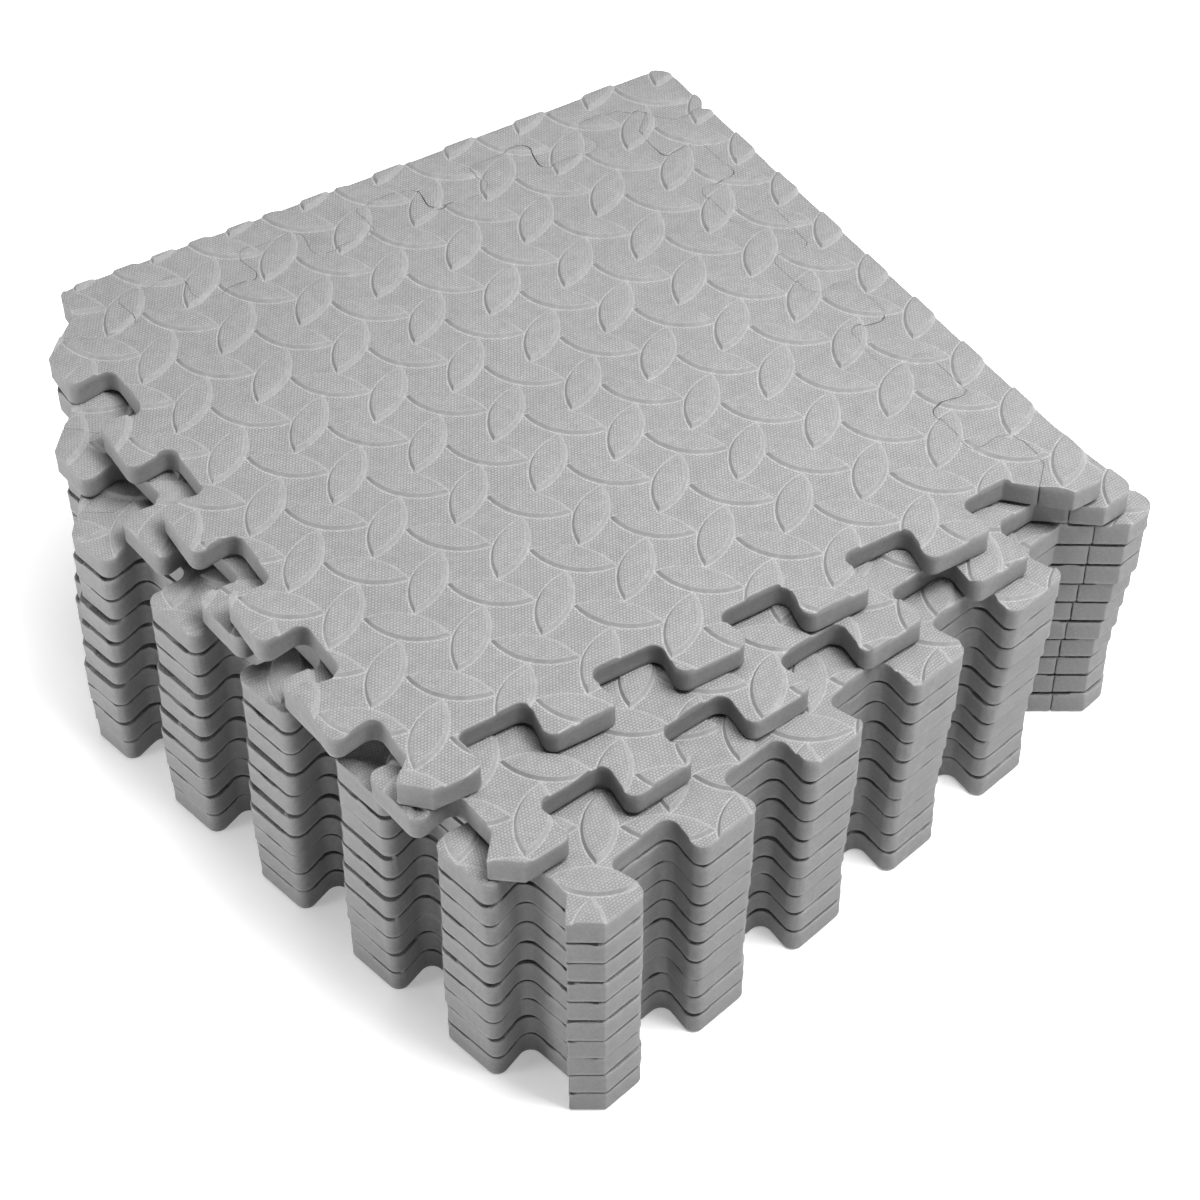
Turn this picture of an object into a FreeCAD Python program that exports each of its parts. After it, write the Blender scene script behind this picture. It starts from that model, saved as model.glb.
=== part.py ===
import FreeCAD, Part
import math
import os

# Stack of twelve interlocking foam floor mats. Every mat carries two border strips pressed
# into its right (+X) and back (+Y) edges. Lengths in mm, angles in degrees.
# Origin: centre of the bottom mat's module square, on the floor. +Z up.

# ---- driving dimensions ---------------------------------------------------------------
MODULE = 304.8          # side of the tiling square of one mat (12 inch)
PITCH_Z = 12.7          # height taken by one layer (1/2 inch)
AIR = 0.2               # air left between two stacked mats
THICK = PITCH_Z - AIR   # thickness of a mat and of its strips
MATS = 12               # mats in the stack

TEETH = 5               # teeth, and as many slots, along one edge
TOOTH_PITCH = 60.0      # distance from one tooth to the next
FIRST_TOOTH = 17.4      # centre of the first tooth from the module corner
DEPTH = 21.0            # from slot bottom to tooth face
OUT = DEPTH / 2         # a tooth stands this far outside the module line
WIDE = 34.0             # tooth width at its face, slot width at its bottom
ROUND = 5.0             # radius of tooth and slot corners

BORDER = 28.5           # outer edge of a strip, measured out from the module line
SEAM = 0.3              # gap of the pressed joint between strip and mat
CORNER_ROUND = 12.0     # outer corner of the strip that turns the corner
END_ROUND = 7.0         # outer corners of the other strip ends

# How each mat lies on the stack: shift of its centre in X and Y, turn about +Z.
# The lower mats are stacked neatly, the two on top were dropped on askew.
LAYS = [
    (0.0, 0.0, 0.0),
    (-0.5, 0.0, 0.2),
    (-1.0, 0.0, 0.1),
    (-1.5, -1.0, 0.1),
    (-1.0, -2.0, -0.2),
    (0.0, -2.5, -0.4),
    (0.5, -3.5, -0.6),
    (1.5, -4.5, -1.0),
    (1.0, -5.0, -1.0),
    (1.5, -5.5, -1.2),
    (7.0, 15.0, -6.2),
    (15.5, 38.0, -12.8),
]


# ---- outline of one edge --------------------------------------------------------------
def edge_points():
    """One edge from module corner to module corner as (along, out, corner radius).

    The edge is antisymmetric about its middle, so any edge mates with any other.
    The slots are the teeth turned end for end.
    """
    half = WIDE / 2
    pts = [(OUT, OUT, 0.0)]
    for k in range(TEETH):
        tooth = FIRST_TOOTH + k * TOOTH_PITCH
        slot = tooth + TOOTH_PITCH / 2
        pts.append((tooth + half, OUT, ROUND))
        pts.append((slot - half, -OUT, ROUND))
        if k < TEETH - 1:
            pts.append((slot + half, -OUT, ROUND))
            pts.append((tooth + TOOTH_PITCH - half, OUT, ROUND))
    pts.append((MODULE - OUT, -OUT, 0.0))
    return pts


def put_on_side(pts, side):
    """Edge points (along, out, radius) to plan points about the mat centre.

    side 0 = front (-Y), 1 = right (+X), 2 = back (+Y), 3 = left (-X).
    """
    turn = math.radians(90 * side)
    c = round(math.cos(turn))
    s = round(math.sin(turn))
    plan = []
    for along, out, rad in pts:
        x = along - MODULE / 2
        y = -MODULE / 2 - out
        plan.append((c * x - s * y, s * x + c * y, rad))
    return plan


def rounded_face(pts):
    """Closed planar face through (x, y, radius) points with each corner rounded."""
    n = len(pts)
    edges = []
    starts = []
    ends = []
    mids = []
    for i in range(n):
        p = FreeCAD.Vector(pts[i][0], pts[i][1], 0)
        a = FreeCAD.Vector(pts[i - 1][0], pts[i - 1][1], 0)
        b = FreeCAD.Vector(pts[(i + 1) % n][0], pts[(i + 1) % n][1], 0)
        rad = pts[i][2]
        if rad <= 0:
            starts.append(p)
            ends.append(p)
            mids.append(None)
            continue
        u = a.sub(p).normalize()
        v = b.sub(p).normalize()
        opening = u.getAngle(v)
        cut = rad / math.tan(opening / 2)
        starts.append(p + u * cut)
        ends.append(p + v * cut)
        inward = (u + v).normalize()
        mids.append(p + inward * (rad / math.sin(opening / 2) - rad))
    for i in range(n):
        if mids[i] is not None:
            edges.append(Part.Arc(starts[i], mids[i], ends[i]).toShape())
        nxt = starts[(i + 1) % n]
        if ends[i].distanceToPoint(nxt) > 1e-6:
            edges.append(Part.LineSegment(ends[i], nxt).toShape())
    return Part.Face(Part.Wire(edges))


# ---- solids in the frame of one mat ---------------------------------------------------
def mat_face():
    pts = []
    for side in range(4):
        corner = [(0.0, 0.0, 0.0)]
        pts += put_on_side(corner + edge_points(), side)
    return rounded_face(pts)


def toothed_edge(side, extra_start, extra_end):
    """Inner edge of a strip: the mat's edge with the run-outs of both strip ends."""
    near_corner = [(0.0, 0.0, 0.0)]
    far_corner = [(MODULE, 0.0, 0.0)]
    return put_on_side(extra_start + near_corner + edge_points() + far_corner + extra_end, side)


def strip_face(side, turns_corner):
    """Border strip along one side of the mat, before the seam is taken off.

    The start of the strip runs out past the module corner, its far end is set back by the
    same amount. A strip that turns the corner also fills the square next to its start.
    """
    if turns_corner:
        start = [(-BORDER, -OUT, END_ROUND), (-OUT, -OUT, 0.0)]
        outer_start = [(-BORDER, BORDER, CORNER_ROUND)]
    else:
        start = [(-OUT, OUT, 1.0)]
        outer_start = [(-OUT, BORDER, END_ROUND)]
    end = [(MODULE - OUT, OUT, 1.0), (MODULE - OUT, BORDER, END_ROUND)]
    plan = toothed_edge(side, start, end)
    plan += put_on_side(outer_start, side)
    return rounded_face(plan)


def grown(face, gap):
    """The face widened all round by the seam gap."""
    return face.makeOffset2D(gap, 0, False, False, False)


def plate(face):
    return face.extrude(FreeCAD.Vector(0, 0, THICK))


MAT = mat_face()
TO_CUT = plate(grown(MAT, SEAM))
MAT_SOLID = plate(MAT)
RIGHT_RAW = plate(strip_face(1, False))
BACK_RAW = plate(strip_face(2, True))
RIGHT_SOLID = RIGHT_RAW.cut(TO_CUT)
BACK_SOLID = BACK_RAW.cut(TO_CUT).cut(plate(grown(strip_face(1, False), SEAM)))


# ---- lay the stack --------------------------------------------------------------------
def laid(shape, layer):
    dx, dy, turn = LAYS[layer]
    spot = FreeCAD.Vector(dx, dy, layer * PITCH_Z)
    out = shape.copy()
    out.Placement = FreeCAD.Placement(spot, FreeCAD.Rotation(FreeCAD.Vector(0, 0, 1), turn))
    return out


def save(name, shape):
    solids = shape.Solids
    body = max(solids, key=lambda item: item.Volume)
    body.exportStep("parts/" + name + ".step")
    return body


os.makedirs("parts", exist_ok=True)
for layer in range(MATS):
    tag = "%02d" % (layer + 1)
    made = [
        save("mat_" + tag, laid(MAT_SOLID, layer)),
        save("strip_right_" + tag, laid(RIGHT_SOLID, layer)),
        save("strip_back_" + tag, laid(BACK_SOLID, layer)),
    ]
    if layer == 0:
        print([round(item.Volume) for item in made], [len(item.Faces) for item in made])
        print([item.isValid() for item in made], [item.BoundBox for item in made])
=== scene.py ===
import math

import bpy
import numpy as np
from mathutils import Matrix, Vector
from mathutils.geometry import delaunay_2d_cdt


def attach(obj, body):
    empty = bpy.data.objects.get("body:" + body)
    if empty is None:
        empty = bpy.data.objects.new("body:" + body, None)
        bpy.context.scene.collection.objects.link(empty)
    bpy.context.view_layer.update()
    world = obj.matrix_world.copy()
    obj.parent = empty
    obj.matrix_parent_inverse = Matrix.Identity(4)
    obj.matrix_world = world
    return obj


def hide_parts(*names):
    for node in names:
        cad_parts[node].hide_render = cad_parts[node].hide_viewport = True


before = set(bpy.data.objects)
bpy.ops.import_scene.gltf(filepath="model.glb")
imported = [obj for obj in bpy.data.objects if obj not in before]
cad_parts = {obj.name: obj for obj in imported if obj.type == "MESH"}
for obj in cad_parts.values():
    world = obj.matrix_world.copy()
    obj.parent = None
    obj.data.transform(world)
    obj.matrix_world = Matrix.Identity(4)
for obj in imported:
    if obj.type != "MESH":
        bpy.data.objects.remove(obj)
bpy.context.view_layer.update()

# ---- sizes of the mats, in mm --------------------------------------------------------
MODULE = 304.8          # side of the tiling square of one mat
HALF = MODULE / 2
PITCH_Z = 12.7          # height taken by one layer
THICK = 12.5            # thickness of a mat and of its strips
MATS = 12
TEETH = 5               # teeth along one edge
TOOTH_PITCH = 60.0      # distance from one tooth to the next
FIRST_TOOTH = 17.4      # centre of the first tooth, from the module corner
OUT = 10.5              # a tooth stands this far outside the module line
WIDE = 34.0             # width of a tooth at its face
ROUND = 5.0             # radius of the corners of teeth and slots
BORDER = 28.5           # outer edge of a strip, from the module line
CORNER_ROUND = 12.0     # outer corner of the strip that turns the corner
END_ROUND = 7.0         # outer corners of the other strip ends
# how each mat lies on the stack: shift in X and Y, turn about +Z in degrees
LAYS = [
    (0.0, 0.0, 0.0), (-0.5, 0.0, 0.2), (-1.0, 0.0, 0.1), (-1.5, -1.0, 0.1),
    (-1.0, -2.0, -0.2), (0.0, -2.5, -0.4), (0.5, -3.5, -0.6), (1.5, -4.5, -1.0),
    (1.0, -5.0, -1.0), (1.5, -5.5, -1.2), (7.0, 15.0, -6.2), (15.5, 38.0, -12.8),
]

# ---- embossed tread ------------------------------------------------------------------
TREAD_X = 37.8          # lattice pitch along the mat's X
TREAD_Y = 36.3          # lattice pitch along the mat's Y
TREAD_TURN = -1.6       # the emboss runs slightly off the cut, degrees
TREAD_AT = (25.0, -32.2)
LENS_HALF = 18.4        # half the length of one lens
LENS_WIDE = 7.2         # half its width
LENS_R = (LENS_HALF ** 2 + LENS_WIDE ** 2) / (2 * LENS_WIDE)    # radius of its two arcs
LENS_K = LENS_R - LENS_WIDE                                     # from its centre line to theirs
LENSES = ((0.0, 1), (0.5, -1))      # two in a lattice cell: place in the cell, way of leaning
RISE = 1.65             # height of the tread above the base
BASE = THICK - RISE
# across the line of a lens, against the inset from it in mm: height as a share of RISE
STEPS = [(-0.75, 0.0), (-0.45, 0.0), (0.15, 0.08), (1.15, 0.93), (1.9, 1.0)]
# painted highlight that lightens the foam round each lens, and how much of the woven skin it shows
HIGHLIGHT_BY_INSET = [(-0.75, 0.0), (-0.45, 0.9), (0.15, 1.2), (1.15, 0.9), (1.9, 0.1), (2.1, 0.0)]
WOVEN = [(-0.45, 1.0), (0.15, 0.0), (1.15, 0.0), (1.9, 1.0)]
ARC_N = 9               # points along one side of a lens
LENS_CLEAR = 19.0       # a lens reaches no farther than this from its centre
LATTICE_SPAN = 1.6      # lattice rows laid out, against the size of the piece
FAR_OUT = -99.0         # inset of a point that no lens is near


def lens_inset(x, y, at, turn):
    """How far plan points of one mat lie inside the outline of their nearest lens, mm."""
    c, s = math.cos(-turn), math.sin(-turn)
    px, py = x - at[0], y - at[1]
    u, v = (c * px - s * py) / TREAD_X, (s * px + c * py) / TREAD_Y
    best = np.full_like(x, FAR_OUT)
    for shift, way in LENSES:
        du = (u - shift - np.round(u - shift)) * TREAD_X
        dv = (v - shift - np.round(v - shift)) * TREAD_Y
        along = (du + way * dv) / math.sqrt(2)
        across = (-way * du + dv) / math.sqrt(2)
        best = np.maximum(best, LENS_R - np.hypot(along, np.abs(across) + LENS_K))
    return best


def table(x, rows):
    """Values at x from rows of (x, value)."""
    return np.interp(x, [q[0] for q in rows], [q[1] for q in rows])


def lens_loops(at, turn, low, high):
    """Contour lines of every lens that can touch a box in plan, as (rings, points, 2)."""
    c, s = math.cos(turn), math.sin(turn)
    n = int(max(abs(low).max(), abs(high).max()) * LATTICE_SPAN / TREAD_Y) + 1
    angles = np.linspace(1, -1, ARC_N, endpoint=False)
    rings = []
    for i in range(-n, n + 1):
        for j in range(-n, n + 1):
            for shift, way in LENSES:
                gx, gy = (i + shift) * TREAD_X, (j + shift) * TREAD_Y
                cx, cy = at[0] + c * gx - s * gy, at[1] + s * gx + c * gy
                if not (low[0] - LENS_CLEAR < cx < high[0] + LENS_CLEAR
                        and low[1] - LENS_CLEAR < cy < high[1] + LENS_CLEAR):
                    continue
                tilt = turn + way * math.pi / 4
                ct, st = math.cos(tilt), math.sin(tilt)
                for inset, _ in STEPS:
                    rad = LENS_R - inset
                    a = math.acos(LENS_K / rad) * angles
                    px, py = rad * np.sin(a), rad * np.cos(a) - LENS_K
                    px, py = np.append(px, -px), np.append(py, -py)
                    rings.append(np.column_stack([cx + ct * px - st * py, cy + st * px + ct * py]))
    return np.array(rings)


# ---- outlines ------------------------------------------------------------------------
CUT_ROUND = 1.2         # radius where a toothed edge meets the corner chamfers
CORNER_CUT = 0.8        # radius of the module corner
END_CUT = 1.5           # radius of the inner corners of a strip's ends
TURN_CUT = 1.0          # the same on the strip that turns the corner
STRAIGHT = 0.02         # a corner that turns less than this, in radians, is left as a point
SHARP = 0.1             # a corner with a smaller radius is left as a point
FEW_BELOW = 1.3         # a smaller radius gets two chords
CHORD = math.radians(15)
SHORTEST = 0.05         # shorter stretches of an outline are left out


def edge_points():
    """One edge of a mat from corner to corner, as (along, out, corner radius)."""
    half = WIDE / 2
    pts = [(OUT, OUT, CUT_ROUND)]
    for k in range(TEETH):
        tooth = FIRST_TOOTH + k * TOOTH_PITCH
        slot = tooth + TOOTH_PITCH / 2
        pts += [(tooth + half, OUT, ROUND), (slot - half, -OUT, ROUND)]
        if k < TEETH - 1:
            pts += [(slot + half, -OUT, ROUND), (tooth + TOOTH_PITCH - half, OUT, ROUND)]
    pts.append((MODULE - OUT, -OUT, CUT_ROUND))
    return pts


def put_on_side(pts, side):
    """Edge points as plan points; side 0 is the front (-Y), then anticlockwise."""
    c, s = round(math.cos(side * math.pi / 2)), round(math.sin(side * math.pi / 2))
    plan = []
    for along, out, rad in pts:
        x, y = along - HALF, -HALF - out
        plan.append((c * x - s * y, s * x + c * y, rad))
    return plan


def mat_corners():
    """Corners of a mat as (x, y, radius)."""
    pts = []
    for side in range(4):
        pts += put_on_side([(0.0, 0.0, CORNER_CUT)] + edge_points(), side)
    return pts


def strip_corners(side, turns_corner):
    """Corners of a strip before its seam is taken off, as (x, y, radius)."""
    if turns_corner:
        start = [(-BORDER, -OUT, END_ROUND), (-OUT, -OUT, TURN_CUT)]
        outer = [(-BORDER, BORDER, CORNER_ROUND)]
    else:
        start = [(-OUT, OUT, END_CUT)]
        outer = [(-OUT, BORDER, END_ROUND)]
    far = [(MODULE - OUT, OUT, END_CUT), (MODULE - OUT, BORDER, END_ROUND)]
    inner = [(0.0, 0.0, CORNER_CUT)] + edge_points() + [(MODULE, 0.0, CORNER_CUT)]
    return put_on_side(start + inner + far + outer, side)


def sampled(corners, step=6.0):
    """Dense closed outline with round corners, from (x, y, radius) corners."""
    n = len(corners)
    out = []
    for i in range(n):
        p = np.array(corners[i][:2])
        a = np.array(corners[i - 1][:2])
        b = np.array(corners[(i + 1) % n][:2])
        u, v = (a - p) / np.linalg.norm(a - p), (b - p) / np.linalg.norm(b - p)
        opening = math.acos(max(-1.0, min(1.0, float(u @ v))))
        if opening > math.pi - STRAIGHT or corners[i][2] < SHARP:
            out.append(p)
            continue
        rad = corners[i][2]
        cut = rad / math.tan(opening / 2)
        mid = (u + v) / np.linalg.norm(u + v)
        centre = p + mid * rad / math.sin(opening / 2)
        first, last = p + u * cut, p + v * cut
        turn = math.pi - opening
        count = max(2, int(math.ceil(turn / CHORD))) if rad > FEW_BELOW else 2
        d0, d1 = first - centre, last - centre
        a0 = math.atan2(d0[1], d0[0])
        sweep = math.atan2(d0[0] * d1[1] - d0[1] * d1[0], float(d0 @ d1))
        for k in range(count + 1):
            t = a0 + sweep * k / count
            out.append(centre + rad * np.array([math.cos(t), math.sin(t)]))
    dense = []
    for i, p in enumerate(out):
        q = out[(i + 1) % len(out)]
        gap = float(np.linalg.norm(q - p))
        if gap < SHORTEST:
            continue
        m = max(1, int(round(gap / step)))
        for k in range(m):
            dense.append(p + (q - p) * k / m)
    return np.array(dense)


def anticlockwise(loop):
    """The loop, turned round where it runs clockwise."""
    x, y = loop[:, 0], loop[:, 1]
    twice_area = (x * np.roll(y, -1) - np.roll(x, -1) * y).sum()
    return loop[::-1].copy() if twice_area < 0 else loop


def normals_of(loop):
    """Outward mitre directions of an anticlockwise loop."""
    e = np.roll(loop, -1, 0) - loop
    e /= np.linalg.norm(e, axis=1, keepdims=True)
    n = np.stack([e[:, 1], -e[:, 0]], 1)
    m = n + np.roll(n, 1, 0)
    length = np.maximum(np.linalg.norm(m, axis=1, keepdims=True), 1e-6)
    m /= length
    return m / np.maximum((m * n).sum(1, keepdims=True), 0.5)


def inside(loop, pts):
    """Which points lie inside a closed outline."""
    x, y = pts[:, 0], pts[:, 1]
    hit = np.zeros(len(pts), bool)
    x1, y1 = loop[:, 0], loop[:, 1]
    x2, y2 = np.roll(x1, -1), np.roll(y1, -1)
    for a, b, c, d in zip(x1, y1, x2, y2):
        if b == d:
            continue
        over = (b > y) != (d > y)
        hit ^= over & (x < (c - a) * (y - b) / (d - b) + a)
    return hit


# ---- one piece of foam ---------------------------------------------------------------
RIM = 0.42              # width of the rounded-over cut edge
RIM_JOINED = 0.14       # the same where two pieces are pressed together
FOOT = 0.5              # the same at the underside
JOINED_BAND = 0.6       # added to OUT: an outline point this near the module line is joined
FLAT_TRI = 1e-5         # smaller triangles of the plan are left out
WAVES = 7               # sines that make up one ripple
WAVES_PEAK = 3.2        # about the height that they reach together
CREASE = math.radians(28)
PINCH = [(RIM, 0.5), (6.0, 1.0)]    # share of the tread's height against the distance from the cut
FREE_MATS = 3           # the uppermost mats, whose tread is hardly pinched
PINCH_LEFT = 0.2        # share of the pinch that they keep
# unevenness of a piece: length of its waves in mm, and the offset of its seed
SINK = (70, 3.1)        # the rim of the top, pressed down
LIFT = (60, 7.7)        # the foot of the side, drawn up
HOLLOW = (90, 11.3)     # the side, pressed in
SWELL = (260, 20)       # the whole face, up and down
LOWEST = -0.9           # no point lies lower than this under its layer


def ripple(p, scale, key):
    """Smooth unevenness between about -1 and 1 over plan points."""
    rng = np.random.RandomState(int(key * 10) % 100000 + 7)
    total = np.zeros(len(p))
    for _ in range(WAVES):
        way = rng.uniform(0, 2 * math.pi)
        size = scale * rng.uniform(0.45, 1.5)
        phase = rng.uniform(0, 2 * math.pi)
        reach = p[:, 0] * math.cos(way) + p[:, 1] * math.sin(way)
        total += np.sin(reach * 2 * math.pi / size + phase)
    return total / WAVES_PEAK


def uneven(p, kind, seed):
    """One of the kinds of unevenness over plan points."""
    scale, offset = kind
    return ripple(p, scale, seed + offset)


def boundary(tris):
    """The vertices round a patch of triangles, in order."""
    pairs = set()
    for t in tris.tolist():
        pairs.update(((t[0], t[1]), (t[1], t[2]), (t[2], t[0])))
    follow = {}
    for a, b in pairs:
        if (b, a) not in pairs:
            follow[a] = b
    start = min(follow)
    ring = [start]
    while follow[ring[-1]] != start:
        ring.append(follow[ring[-1]])
    return ring


def cut_plan(corners, at, turn):
    """Plan mesh of a piece: treaded top triangles, its rim and the underside triangles."""
    loop = anticlockwise(sampled(corners))
    out = normals_of(loop)
    far = loop.max(1)
    joined = (far > HALF - OUT - JOINED_BAND) & (far < HALF + OUT + JOINED_BAND)
    width = np.where(joined, RIM_JOINED, RIM)
    rim = loop - out * width[:, None]
    verts = [Vector(q) for q in rim.tolist()]
    n = len(verts)
    edges = []
    rings = lens_loops(at, turn, rim.min(0), rim.max(0))
    keep = inside(rim, rings.reshape(-1, 2)).reshape(len(rings), -1).any(1)
    for ring in rings[keep]:
        base = len(verts)
        verts += [Vector(q) for q in ring.tolist()]
        edges += [(base + k, base + (k + 1) % len(ring)) for k in range(len(ring))]
    co, _, tris, _, _, _ = delaunay_2d_cdt(verts, edges, [list(range(n))], 0, 1e-4)
    plan = np.array([(v.x, v.y) for v in co])
    tris = np.array([list(t) for t in tris if len(t) == 3])
    tris = tris[inside(rim, plan[tris].mean(1))]
    area = cross(plan, tris)
    kept = np.abs(area) > FLAT_TRI
    tris, area = tris[kept], area[kept]
    tris[area < 0] = tris[area < 0][:, ::-1]
    ring = boundary(tris)
    used = np.unique(tris)
    index = -np.ones(len(plan), int)
    index[used] = np.arange(len(used))
    top = plan[used]
    tris = index[tris]
    ring = index[ring]
    # where each rim point sits on the outline
    p = top[ring][:, None, :]
    a, b = rim[None], np.roll(rim, -1, 0)[None]
    t = np.clip(((p - a) * (b - a)).sum(2) / ((b - a) ** 2).sum(2), 0, 1)
    near = np.hypot(*np.moveaxis(p - (a + (b - a) * t[..., None]), 2, 0)).argmin(1)
    t = t[np.arange(len(ring)), near][:, None]
    nxt = (near + 1) % n
    full = loop[near] * (1 - t) + loop[nxt] * t
    outward = out[near] * (1 - t) + out[nxt] * t
    width = width[near] * (1 - t[:, 0]) + width[nxt] * t[:, 0]
    foot = full - outward * FOOT
    _, _, under, corners_of, _, _ = delaunay_2d_cdt([Vector(q) for q in foot.tolist()], [],
                                                    [list(range(len(foot)))], 1, 1e-6)
    source = [q[0] if q else -1 for q in corners_of]
    under = np.array([[source[k] for k in q] for q in under])
    under = under[(under >= 0).all(1)]
    flip = cross(foot, under) > 0
    under[flip] = under[flip][:, ::-1]
    return {"top": top, "tris": tris, "ring": ring, "full": full, "outward": outward,
            "under": under, "inset": lens_inset(top[:, 0], top[:, 1], at, turn),
            "width": width, "pinch": table(reach_of(loop, top), PINCH)}


def reach_of(loop, points):
    """Distance of each point from an outline, mm."""
    best = np.full(len(points), 1e9)
    for a, b in zip(loop, np.roll(loop, -1, 0)):
        t = np.clip(((points - a) @ (b - a)) / ((b - a) @ (b - a)), 0, 1)[:, None]
        d = points - (a + (b - a) * t)
        best = np.minimum(best, (d * d).sum(1))
    return np.sqrt(best)


def cross(p, tris):
    """Twice the signed area of plan triangles."""
    a, b = p[tris[:, 1]] - p[tris[:, 0]], p[tris[:, 2]] - p[tris[:, 0]]
    return a[:, 0] * b[:, 1] - a[:, 1] * b[:, 0]


def foam(name, plan, layer, seed):
    """A foam piece in the frame of its mat: treaded top, cut sides, flat underside."""
    top, ring, full, outward = plan["top"], plan["ring"], plan["full"], plan["outward"]
    pinch = plan["pinch"]
    if layer >= MATS - FREE_MATS:
        pinch = 1 - PINCH_LEFT + PINCH_LEFT * pinch
    high = table(plan["inset"], STEPS) * RISE * pinch
    width = plan["width"]
    # painted highlight: the foam is drawn lighter round the outline and on the slopes of each lens
    tread_highlight = table(plan["inset"], HIGHLIGHT_BY_INSET)
    z_edge = BASE + high[ring]
    sink = 0.5 * width * np.clip(uneven(full, SINK, seed), 0, 1.3)
    lift = 0.38 + 0.48 * np.clip(uneven(full, LIFT, seed), 0 if layer == 0 else -1.2, 1.0)
    hollow = 0.16 + 0.12 * uneven(full, HOLLOW, seed)
    # rows down the cut side: inset from the outline, height, painted highlight on the cut rim and
    # foot
    rows = [
        (width * 0.3, z_edge - width * 0.3 - sink * 0.4, 0.8),
        (0.0, z_edge - width - sink, 0.5),
        (hollow * 0.6, BASE * 0.75 - sink, 0.0),
        (hollow, BASE * 0.45, 0.0),
        (hollow * 0.6, BASE * 0.2 + lift, 0.0),
        (0.0, 0.45 + lift, 0.3),
        (0.14, 0.14 + lift * 0.9, 0.5),
        (FOOT, np.minimum(lift, 0.0), 0.2),
    ]
    z_top = BASE + high
    points = [np.column_stack([top, z_top])]
    painted_highlight = [tread_highlight]
    skin = [table(plan["inset"], WOVEN)]
    quads = []
    last = ring
    m = len(ring)
    count = len(top)
    for back, z, side_highlight in rows:
        p = full - outward * (np.zeros(m) + back)[:, None]
        points.append(np.column_stack([p, np.zeros(m) + z]))
        painted_highlight.append(np.full(m, side_highlight))
        skin.append(np.zeros(m))
        now = np.arange(count, count + m)
        count += m
        quads.append(np.column_stack([last, now, np.roll(now, -1), np.roll(last, -1)]))
        last = now
    pts = np.concatenate(points)
    pts[:, 2] += 0.10 * uneven(pts[:, :2], SWELL, seed) * np.clip(pts[:, 2] / THICK, 0, 1) - 0.05
    pts[:, 2] = np.clip(pts[:, 2], 0 if layer == 0 else LOWEST, THICK)
    tris = np.concatenate([plan["tris"], last[plan["under"]]])
    quads = np.concatenate(quads)
    mesh = bpy.data.meshes.new(name)
    mesh.vertices.add(len(pts))
    mesh.vertices.foreach_set("co", (pts / 1000).ravel())
    corner = np.concatenate([tris.ravel(), quads.ravel()])
    mesh.loops.add(len(corner))
    mesh.loops.foreach_set("vertex_index", corner.astype(np.int32))
    mesh.polygons.add(len(tris) + len(quads))
    first = np.concatenate([np.arange(len(tris)) * 3, len(tris) * 3 + np.arange(len(quads)) * 4])
    mesh.polygons.foreach_set("loop_start", first.astype(np.int32))
    mesh.update(calc_edges=True)
    mesh.validate()
    mesh.polygons.foreach_set("use_smooth", np.ones(len(mesh.polygons), bool))
    mesh.set_sharp_from_angle(angle=CREASE)
    # the painted highlight and the woven skin are kept on the mesh as point attributes
    for key, values in (("painted_highlight", painted_highlight), ("skin", skin)):
        attribute = mesh.attributes.new(key, "FLOAT", "POINT")
        attribute.data.foreach_set("value", np.concatenate(values).astype(np.float32))
    obj = bpy.data.objects.new(name, mesh)
    bpy.context.scene.collection.objects.link(obj)
    dx, dy, angle = LAYS[layer]
    obj.matrix_world = (Matrix.Translation((dx / 1000, dy / 1000, layer * PITCH_Z / 1000))
                        @ Matrix.Rotation(math.radians(angle), 4, "Z"))
    return obj


# ---- materials -----------------------------------------------------------------------
WEAVE_LONG, WEAVE_ROW, WEAVE_PIT = 0.0015, 0.0013, 0.00032      # metres


def node(tree, kind, **inputs):
    """A shader node with constant inputs, named with _ for each space."""
    n = tree.nodes.new(kind)
    for key, value in inputs.items():
        n.inputs[key.replace("_", " ")].default_value = value
    return n


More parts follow.
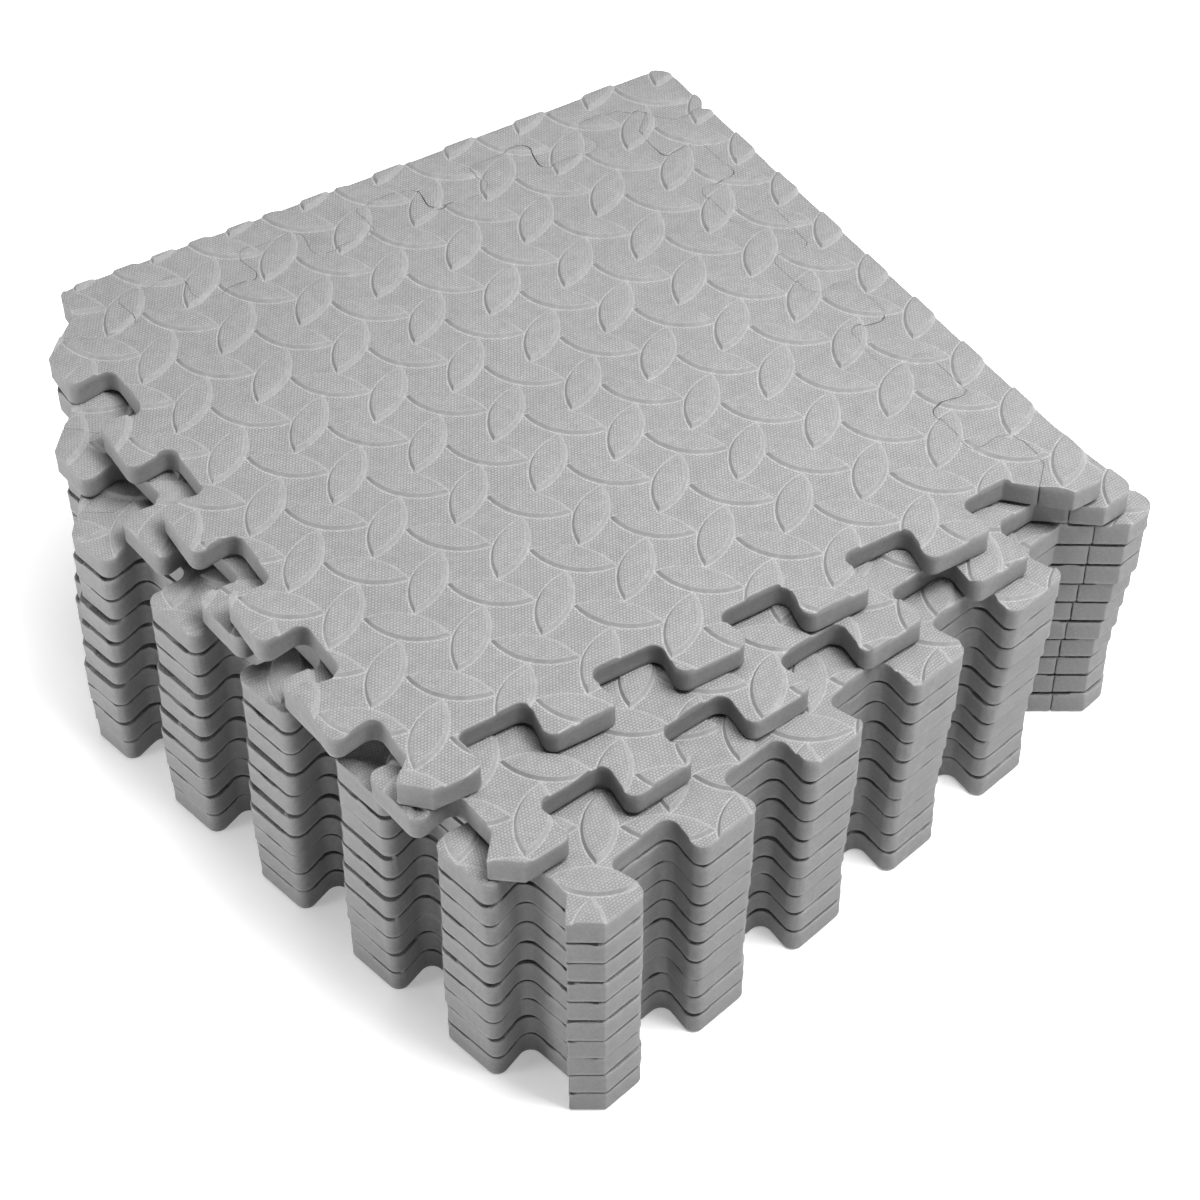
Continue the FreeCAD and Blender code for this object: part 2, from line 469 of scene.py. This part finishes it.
def foam_material(name, shade):
    """Matt closed-cell foam with a woven emboss on its skin."""
    mat = bpy.data.materials.new(name)
    mat.use_nodes = True
    t = mat.node_tree
    t.nodes.clear()
    link = t.links.new

    def math_node(kind, a, b):
        n = t.nodes.new("ShaderNodeMath")
        n.operation = kind
        for socket, value in zip(n.inputs, (a, b)):
            if isinstance(value, (int, float)):
                socket.default_value = value
            else:
                link(value, socket)
        return n.outputs[0]

    def noise_node(scale, detail, rough):
        n = node(t, "ShaderNodeTexNoise", Scale=scale, Detail=detail, Roughness=rough)
        link(place, n.inputs["Vector"])
        return n.outputs["Fac"]

    def bump(height, strength, distance, before=None):
        n = node(t, "ShaderNodeBump", Strength=strength, Distance=distance)
        link(height, n.inputs["Height"])
        if before is not None:
            link(before, n.inputs["Normal"])
        return n.outputs["Normal"]

    def attribute(key):
        n = t.nodes.new("ShaderNodeAttribute")
        n.attribute_name = key
        return n.outputs["Fac"]

    out = t.nodes.new("ShaderNodeOutputMaterial")
    bsdf = t.nodes.new("ShaderNodeBsdfPrincipled")
    link(bsdf.outputs["BSDF"], out.inputs["Surface"])
    bsdf.inputs["Specular IOR Level"].default_value = 0.3
    place = t.nodes.new("ShaderNodeTexCoord").outputs["Object"]
    skin = attribute("skin")
    # painted highlight along the lens outlines and cut rims, read from the mesh
    painted_highlight = attribute("painted_highlight")
    # fine woven emboss, only on the skin of the sheet
    weave = t.nodes.new("ShaderNodeTexBrick")
    weave.offset = 0.5
    for key, value in (("Scale", 1.0), ("Brick Width", WEAVE_LONG), ("Row Height", WEAVE_ROW),
                       ("Mortar Size", WEAVE_PIT), ("Mortar Smooth", 1.0)):
        weave.inputs[key].default_value = value
    weave.inputs["Color1"].default_value = (1, 1, 1, 1)
    weave.inputs["Color2"].default_value = (0.75, 0.75, 0.75, 1)
    weave.inputs["Mortar"].default_value = (0, 0, 0, 1)
    link(place, weave.inputs["Vector"])
    knit = math_node("MULTIPLY", weave.outputs["Color"], skin)
    # scale per metre, detail, roughness
    cloud = noise_node(14.0, 5.0, 0.6)
    speck = noise_node(650.0, 2.0, 0.7)
    cells = noise_node(1100.0, 3.0, 0.65)
    dent = noise_node(30.0, 3.0, 0.5)
    mottle = noise_node(220.0, 3.0, 0.6)
    # the tone is the shade times clouds, specks, mottling, pits of the weave and a painted
    # highlight on the edges, each by how much it varies and from which value it starts
    tone = math_node("ADD", math_node("MULTIPLY", cloud, 0.16), 0.92)
    for pattern, varies, least in ((speck, 0.36, 0.82), (mottle, 0.34, 0.83),
                                   (knit, 0.36, 0.80), (painted_highlight, 0.32, 1.0)):
        factor = math_node("ADD", math_node("MULTIPLY", pattern, varies), least)
        tone = math_node("MULTIPLY", tone, factor)
    tone = math_node("MULTIPLY", tone, shade)
    grey = t.nodes.new("ShaderNodeCombineColor")
    for k in range(3):
        link(tone, grey.inputs[k])
    link(grey.outputs["Color"], bsdf.inputs["Base Color"])
    rough = math_node("ADD", math_node("MULTIPLY", cloud, 0.16), 0.62)
    # where the highlight is painted, the foam is also made a little less rough
    link(math_node("SUBTRACT", rough, math_node("MULTIPLY", painted_highlight, 0.08)), bsdf.inputs["Roughness"])
    # strength, and height in metres
    normal = bump(knit, 0.65, 0.0006)
    normal = bump(cells, 0.30, 0.0004, normal)
    normal = bump(dent, 0.35, 0.0010, normal)
    link(normal, bsdf.inputs["Normal"])
    return mat


MAT_FOAM = foam_material("mat_foam", 0.205)
STRIP_FOAM = foam_material("strip_foam", 0.207)

# ---- the stack -----------------------------------------------------------------------
SEAM_STEP = 3.0         # spacing of the points along a strip's outline
SEAM_TIGHT = 0.05       # gap of the pressed seam
SEAM_WAVE = 55          # length of the waves that open it
SEAM_CLOSED = 0.45      # height of a wave up to which it stays tight
SEAM_OPENS = 0.9        # how much it opens over the rest of the wave
SEAM_MOST = 0.4         # height of the wave at which it opens no further, less SEAM_CLOSED


def seamed(corners, key):
    """A strip's outline with the tight seam taken off; here and there the seam stands open."""
    dense = anticlockwise(sampled(corners, SEAM_STEP))
    wave = np.clip(ripple(dense, SEAM_WAVE, key) - SEAM_CLOSED, 0, SEAM_MOST)
    gap = SEAM_TIGHT + SEAM_OPENS * wave
    return [(p[0], p[1], 0.0) for p in dense - normals_of(dense) * gap[:, None]]


# kinds of piece: outline, and how far the tread is off that of the mat
KINDS = {
    "mat_": (mat_corners(), (0.0, 0.0)),
    "strip_right_": (seamed(strip_corners(1, False), 4.0), (0.4, 0.5)),
    "strip_back_": (seamed(strip_corners(2, True), 9.0), (-0.5, 0.4)),
}
# shift and turn of the tread on the top mat, then on the mats below it in turn
EMBOSS = [((0.0, 0.0), 0.0), ((17.0, 11.0), 0.5), ((5.0, 25.0), -0.4), ((29.0, 7.0), 0.2)]
LOWER_EMBOSS = len(EMBOSS) - 1
KEY_STEP, KEY_KIND = 3.7, 31.0      # set apart the seeds of the layers and of the kinds of piece
PLANS = {}
for stem, (corners, slip) in KINDS.items():
    for k, (shift, turn) in enumerate(EMBOSS):
        at = (TREAD_AT[0] + shift[0] + slip[0], TREAD_AT[1] + shift[1] + slip[1])
        PLANS[stem, k] = cut_plan(corners, at, math.radians(TREAD_TURN + turn))

for layer in range(MATS):
    tag = "%02d" % (layer + 1)
    body = "layer_" + tag
    top_one = layer == MATS - 1
    made = [
        ("mat_", "mat_foam", MAT_FOAM, body),
        ("strip_right_", "strip_foam", STRIP_FOAM, "top_right_strip" if top_one else body),
        ("strip_back_", "strip_foam", STRIP_FOAM, "top_back_strip" if top_one else body),
    ]
    for k, (stem, slot, material, home) in enumerate(made):
        plan = PLANS[stem, 0 if top_one else 1 + layer % LOWER_EMBOSS]
        piece = foam("foam_" + stem + tag, plan, layer, layer * KEY_STEP + k * KEY_KIND)
        piece.data.materials.append(material)
        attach(piece, home)
        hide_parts(stem + tag)

# ---- floor, light and camera ---------------------------------------------------------
SPAN = 20.0             # half the side of the floor, in metres
FLOOR_CLEAR = 0.0004    # the floor lies this far under the bottom mat
FLOOR_SHADE = (0.86, 0.86, 0.86, 1)
WHITE = (1, 1, 1, 1)

floor_mesh = bpy.data.meshes.new("floor")
floor_mesh.from_pydata([(-SPAN, -SPAN, 0), (SPAN, -SPAN, 0), (SPAN, SPAN, 0), (-SPAN, SPAN, 0)],
                       [], [(0, 1, 2, 3)])
floor = bpy.data.objects.new("floor", floor_mesh)
bpy.context.scene.collection.objects.link(floor)
floor.location.z = -FLOOR_CLEAR
white = bpy.data.materials.new("floor_white")
white.use_nodes = True
floor_tree = white.node_tree
join = floor_tree.links.new
surface = floor_tree.nodes["Principled BSDF"]
surface.inputs["Base Color"].default_value = FLOOR_SHADE
surface.inputs["Roughness"].default_value = 0.9
surface.inputs["Emission Color"].default_value = WHITE
# the floor glows more with its distance, in metres, so that it stays pale out to the horizon
away = floor_tree.nodes.new("ShaderNodeVectorMath")
away.operation = "LENGTH"
glow = node(floor_tree, "ShaderNodeMapRange", From_Min=0.5, From_Max=1.6, To_Min=0.28, To_Max=1.0)
join(floor_tree.nodes.new("ShaderNodeTexCoord").outputs["Object"], away.inputs[0])
join(away.outputs["Value"], glow.inputs["Value"])
join(glow.outputs["Result"], surface.inputs["Emission Strength"])
floor_mesh.materials.append(white)

world = bpy.data.worlds.new("studio")
bpy.context.scene.world = world
world.use_nodes = True
background = world.node_tree.nodes["Background"]
background.inputs["Color"].default_value = WHITE
background.inputs["Strength"].default_value = 0.15


def softbox(name, azimuth, elevation, distance, size, power):
    """An area light aimed at the stack; azimuth is anticlockwise from +X, in degrees."""
    a, e = math.radians(azimuth), math.radians(elevation)
    spot = Vector((math.cos(a) * math.cos(e), math.sin(a) * math.cos(e), math.sin(e))) * distance
    data = bpy.data.lights.new(name, "AREA")
    data.shape = "SQUARE"
    data.size = size
    data.energy = power
    lamp = bpy.data.objects.new(name, data)
    bpy.context.scene.collection.objects.link(lamp)
    lamp.location = spot
    lamp.rotation_euler = (-spot).to_track_quat("-Z", "Y").to_euler()


# name, azimuth and elevation in degrees, distance and size in metres, power in watts
softbox("overhead", 10, 82, 1.9, 1.2, 32)
softbox("key", -68, 66, 1.5, 0.6, 30)
softbox("left_card", 158, 8, 1.1, 0.4, 9)
softbox("right_card", -46, 8, 1.2, 0.4, 3)

camera_data = bpy.data.cameras.new("camera")
camera_data.sensor_width = 36.0
camera_data.lens = 84.96
camera_data.clip_end = 50.0
camera = bpy.data.objects.new("camera", camera_data)
bpy.context.scene.collection.objects.link(camera)
# where the camera stands and how it is turned, fitted to the photograph
EYE = Vector((-0.59097, -0.62768, 0.96256))
RIGHT = Vector((0.71296, -0.70115, -0.00838))
AHEAD = Vector((0.48359, 0.50032, -0.71820)).normalized()
UP = RIGHT.cross(AHEAD).normalized()
RIGHT = AHEAD.cross(UP)
camera.matrix_world = Matrix((
    (RIGHT.x, UP.x, -AHEAD.x, EYE.x),
    (RIGHT.y, UP.y, -AHEAD.y, EYE.y),
    (RIGHT.z, UP.z, -AHEAD.z, EYE.z),
    (0, 0, 0, 1),
))
bpy.context.scene.camera = camera
bpy.context.scene.view_settings.view_transform = "Standard"
